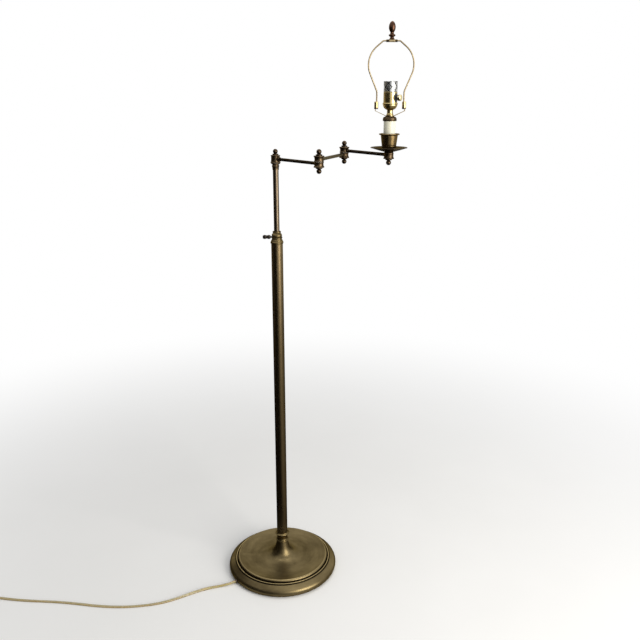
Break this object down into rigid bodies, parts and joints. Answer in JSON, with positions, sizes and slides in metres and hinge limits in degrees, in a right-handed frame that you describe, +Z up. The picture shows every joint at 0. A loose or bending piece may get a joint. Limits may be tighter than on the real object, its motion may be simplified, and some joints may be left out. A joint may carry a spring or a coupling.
{
  "type": "swing arm floor lamp",
  "caption": "Adjustable floor lamp: round weighted base, telescoping pole with thumb screw, jointed swing arms, candle-style socket with a harp, and a coiled cord.",
  "frame": {"origin": "middle of the round base, on the floor", "axes": "+Z up along the pole, +X towards the side where the lamp head stands at rest, -Y towards the viewer"},
  "size_m": [1.1998, 0.466, 1.4464],
  "materials": {
    "antique_brass": "satin antique brass",
    "dark_bronze": "dark oiled bronze",
    "polished_brass": "polished",
    "socket_brass": "plain pressed brass",
    "knob_brass": "polished",
    "blade_brass": "plain",
    "cast_iron": "rough casting",
    "steel": "zinc plated",
    "silver_shell": "bright",
    "felt": "pressed felt",
    "nylon": "natural nylon",
    "brown_plastic": "moulded",
    "gold_cord": "clear gold vinyl",
    "plug_plastic": "clear gold vinyl",
    "ivory_plastic": "ivory",
    "fibre_paper": "pressed fibre",
    "black_plastic": "moulded"
  },
  "bodies": {
    "base": {"base_shell": "antique_brass", "tube_foot": "antique_brass", "outer_tube": "antique_brass", "tube_collar": "antique_brass", "base_weight": "cast_iron", "base_felt": "felt", "base_lock_nut": "steel", "base_pipe": "steel", "guide_bush": "nylon", "cord_bushing": "brown_plastic", "cord_tie": "brown_plastic", "supply_lead": "gold_cord", "cord_floor": "gold_cord", "cord_coil": "gold_cord", "plug_body": "plug_plastic", "plug_blades": "blade_brass"},
    "thumb_screw": {"thumb_screw": "dark_bronze"},
    "pole": {"inner_pole": "antique_brass", "pole_guide": "nylon", "post_washer": "nylon", "post_neck": "dark_bronze", "post_cap": "dark_bronze", "post_pivot": "steel"},
    "arm_1": {"arm_1_root_hub": "dark_bronze", "arm_1_tube": "dark_bronze", "arm_1_tip_hub": "dark_bronze", "elbow_a_finials": "dark_bronze", "elbow_a_pivot": "steel", "elbow_a_washer": "nylon"},
    "arm_2": {"arm_2_root_hub": "dark_bronze", "arm_2_tip_hub": "dark_bronze", "elbow_b_finials": "dark_bronze", "arm_2_tube": "antique_brass", "elbow_b_pivot": "steel", "elbow_b_washer": "nylon"},
    "arm_3": {"arm_3_root_hub": "dark_bronze", "arm_3_tube": "dark_bronze", "head_hub": "dark_bronze", "head_finial": "dark_bronze", "candle_cap": "dark_bronze", "head_pipe": "steel", "drip_pan": "antique_brass", "candle_cup": "antique_brass", "candle_sleeve": "ivory_plastic", "harp_saddle": "polished_brass", "saddle_nut": "polished_brass", "socket_cap": "polished_brass", "socket_shell": "polished_brass", "harp_wire": "polished_brass", "socket_contacts": "socket_brass", "shell_sleeve": "silver_shell", "socket_liner": "fibre_paper", "socket_body": "black_plastic", "switch_boss": "black_plastic", "socket_leads": "gold_cord"},
    "switch_knob": {"switch_knob": "knob_brass"},
    "ferrule_left": {"ferrule_left": "polished_brass"},
    "ferrule_right": {"ferrule_right": "polished_brass"},
    "harp_plate": {"harp_plate": "polished_brass"},
    "shade_finial": {"shade_finial": "dark_bronze"}
  },
  "joints": [
    {"name": "thumb_screw_turn", "type": "hinge", "parent": "base", "child": "thumb_screw", "pos_m": [-0.02, 0, 0.9553], "axis": [-1, 0, 0], "range_deg": [0, 540]},
    {"name": "pole_slide", "type": "slide", "parent": "base", "child": "pole", "axis": [0, 0, 1], "range_m": [-0.15, 0.2]},
    {"name": "arm_1_swing", "type": "hinge", "parent": "pole", "child": "arm_1", "pos_m": [0, 0, 1.1456], "axis": [0, 0, 1], "range_deg": [-170, 170]},
    {"name": "arm_2_swing", "type": "hinge", "parent": "arm_1", "child": "arm_2", "pos_m": [0.10386, -0.1164, 1.15], "axis": [0, 0, 1], "range_deg": [-199, 52]},
    {"name": "arm_3_swing", "type": "hinge", "parent": "arm_2", "child": "arm_3", "pos_m": [0.16684, 0.02632, 1.1588], "axis": [0, 0, 1], "range_deg": [-37, 188]},
    {"name": "switch_turn", "type": "hinge", "parent": "arm_3", "child": "switch_knob", "pos_m": [0.27959, -0.10769, 1.28776], "axis": [0.829, -0.5592, 0], "continuous": true},
    {"name": "ferrule_left_lift", "type": "slide", "parent": "arm_3", "child": "ferrule_left", "axis": [0, 0, 1], "range_m": [0, 0.012]},
    {"name": "ferrule_right_lift", "type": "slide", "parent": "arm_3", "child": "ferrule_right", "axis": [0, 0, 1], "range_m": [0, 0.012]},
    {"name": "harp_plate_tilt", "type": "hinge", "parent": "arm_3", "child": "harp_plate", "pos_m": [0.26301, -0.09651, 1.4063], "axis": [1, 0, 0], "range_deg": [-15, 15]},
    {"name": "shade_finial_turn", "type": "hinge", "parent": "harp_plate", "child": "shade_finial", "pos_m": [0.26301, -0.09651, 1.415], "axis": [0, 0, 1], "range_deg": [0, 720]}
  ]
}
